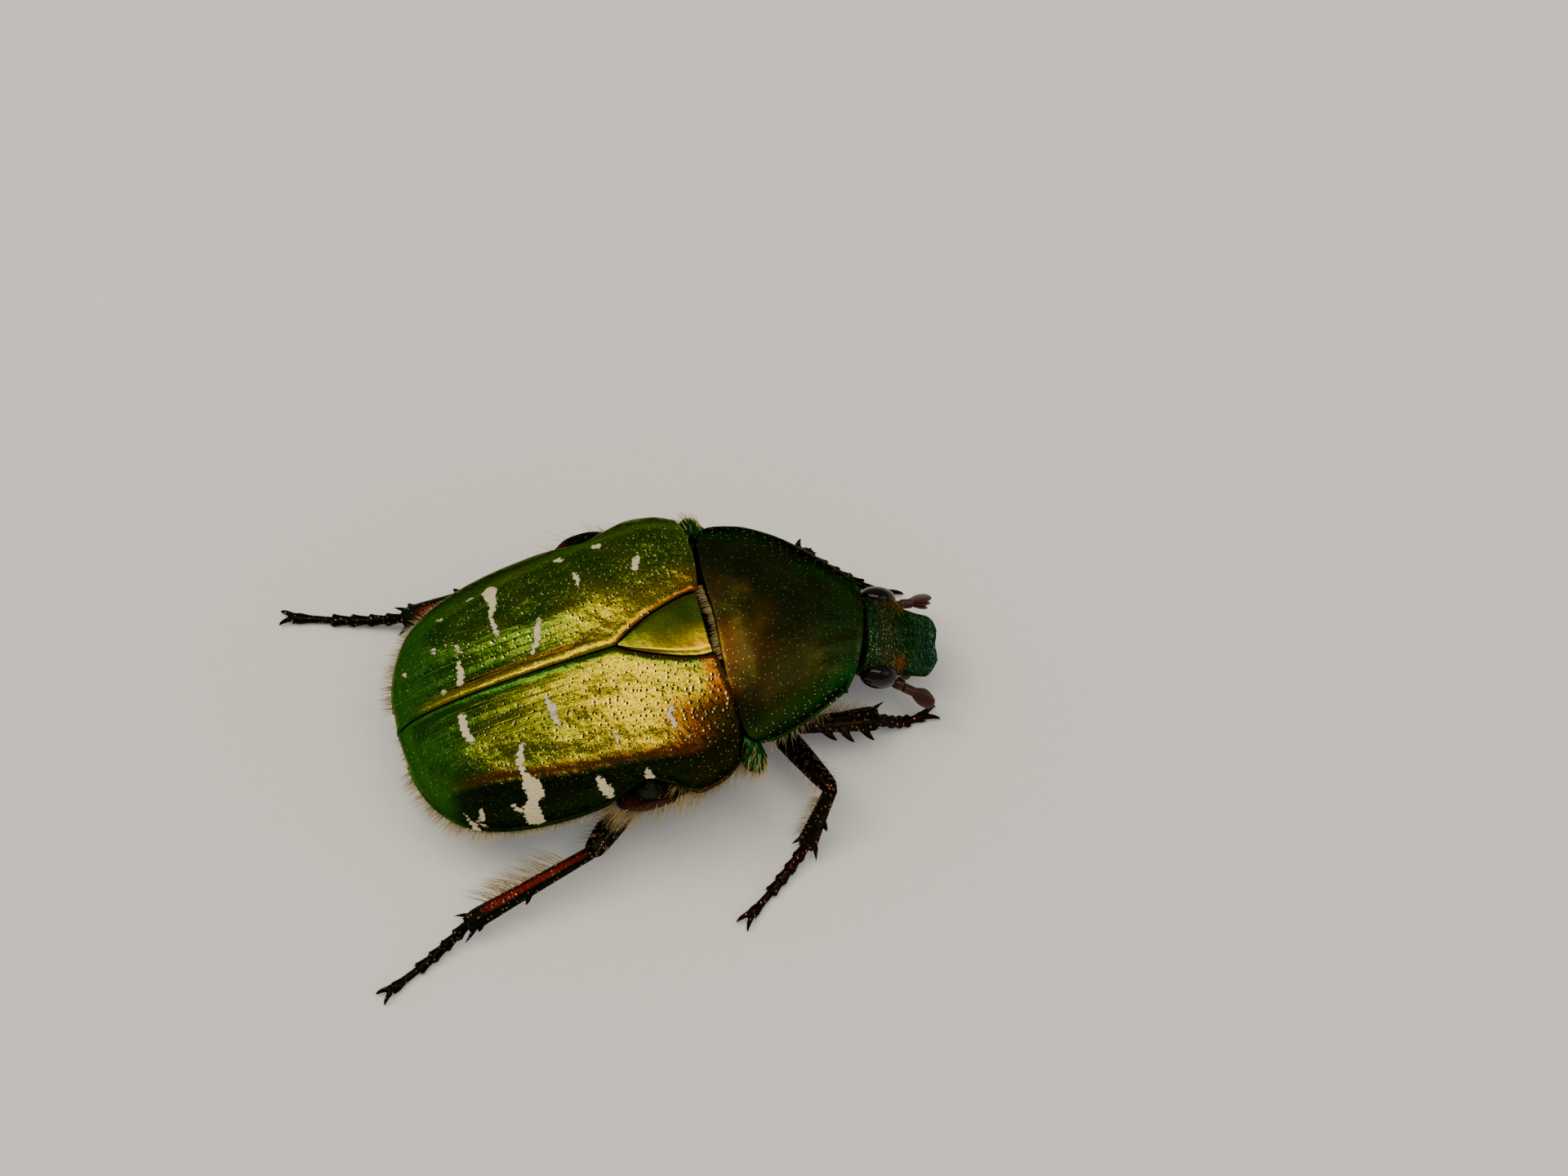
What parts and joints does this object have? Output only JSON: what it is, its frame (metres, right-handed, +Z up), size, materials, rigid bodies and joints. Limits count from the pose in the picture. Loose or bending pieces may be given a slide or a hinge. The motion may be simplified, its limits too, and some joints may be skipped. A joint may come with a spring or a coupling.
{
  "type": "rose chafer",
  "caption": "Life-size still model of a rose chafer, an oval flower beetle with domed metallic green wing cases, standing on its feet.",
  "frame": {"origin": "middle of the floor under the beetle, at the bottom centre of its box, with claw tips and feet included", "axes": "+X to the beetle's front, +Y to its left, +Z up"},
  "size_m": [0.0218, 0.0158, 0.0077],
  "materials": {
    "wing_case": "glossy metallic green and gold cuticle with cream chalky marks",
    "scutellum": "glossy metallic green-gold cuticle",
    "pronotum": "glossy dark bronze-green cuticle, finely pitted",
    "head": "satin dark green cuticle, densely pitted",
    "side_plate": "satin green cuticle with tan hair",
    "underside": "glossy dark coppery cuticle with tan hair",
    "eye": "glossy black",
    "antenna": "satin brown horn",
    "leg": "glossy green-black and coppery cuticle, pitted",
    "foot": "glossy black-green cuticle"
  },
  "bodies": {
    "root": {"left_wing_case": "wing_case", "right_wing_case": "wing_case", "scutellum": "scutellum", "pronotum": "pronotum", "head": "head", "left_side_plate": "side_plate", "right_side_plate": "side_plate", "prosternum": "underside", "thorax": "underside", "abdomen": "underside", "left_eye": "eye", "right_eye": "eye", "left_antenna": "antenna", "right_antenna": "antenna", "left_palp": "antenna", "right_palp": "antenna", "left_fore_femur": "leg", "left_fore_tibia": "leg", "left_fore_tarsus": "foot", "right_fore_femur": "leg", "right_fore_tibia": "leg", "right_fore_tarsus": "foot", "left_mid_femur": "leg", "left_mid_tibia": "leg", "left_mid_tarsus": "foot", "right_mid_femur": "leg", "right_mid_tibia": "leg", "right_mid_tarsus": "foot", "left_hind_femur": "leg", "left_hind_tibia": "leg", "left_hind_tarsus": "foot", "right_hind_femur": "leg", "right_hind_tibia": "leg", "right_hind_tarsus": "foot"}
  },
  "joints": []
}
